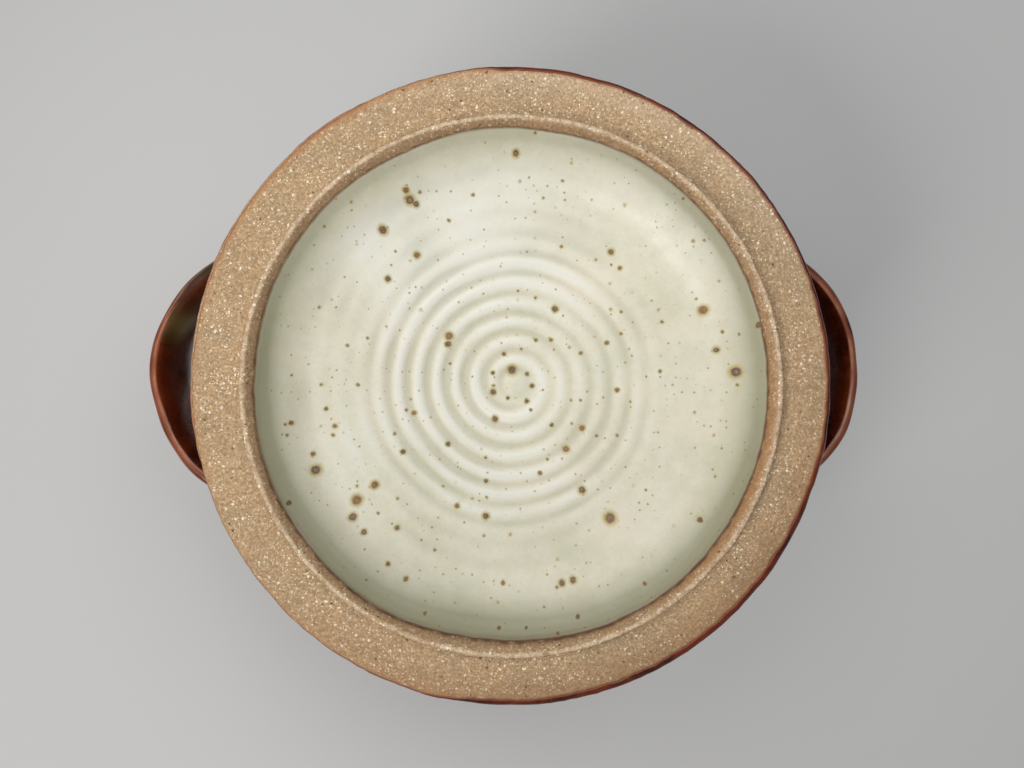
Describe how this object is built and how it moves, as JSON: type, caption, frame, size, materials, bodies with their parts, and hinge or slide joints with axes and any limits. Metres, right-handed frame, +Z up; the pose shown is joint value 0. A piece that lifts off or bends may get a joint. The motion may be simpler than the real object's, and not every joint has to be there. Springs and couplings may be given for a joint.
{
  "type": "bean pot",
  "caption": "Round stoneware bean pot with two ear handles and a loose domed lid that lies upside down on the rim.",
  "frame": {"origin": "middle of the foot's resting face, on the pot's axis", "axes": "+Z up, +X to the right handle as pictured, +Y to the top of the picture"},
  "size_m": [0.3151, 0.266, 0.1767],
  "materials": {
    "iron_glaze": "glossy iron-red to brown-black glaze over stoneware",
    "bare_stoneware": "unglazed toasted tan stoneware with pale grit",
    "pale_glaze": "satin pale grey-green glaze with iron spots"
  },
  "bodies": {
    "pot": {"pot_body": "iron_glaze", "left_handle": "iron_glaze", "right_handle": "iron_glaze"},
    "lid": {"lid": "bare_stoneware", "lid_knob": "iron_glaze"}
  },
  "joints": [
    {"name": "lid_lift", "type": "slide", "parent": "pot", "child": "lid", "axis": [0, 0, 1], "range_m": [0, 0.12]}
  ]
}
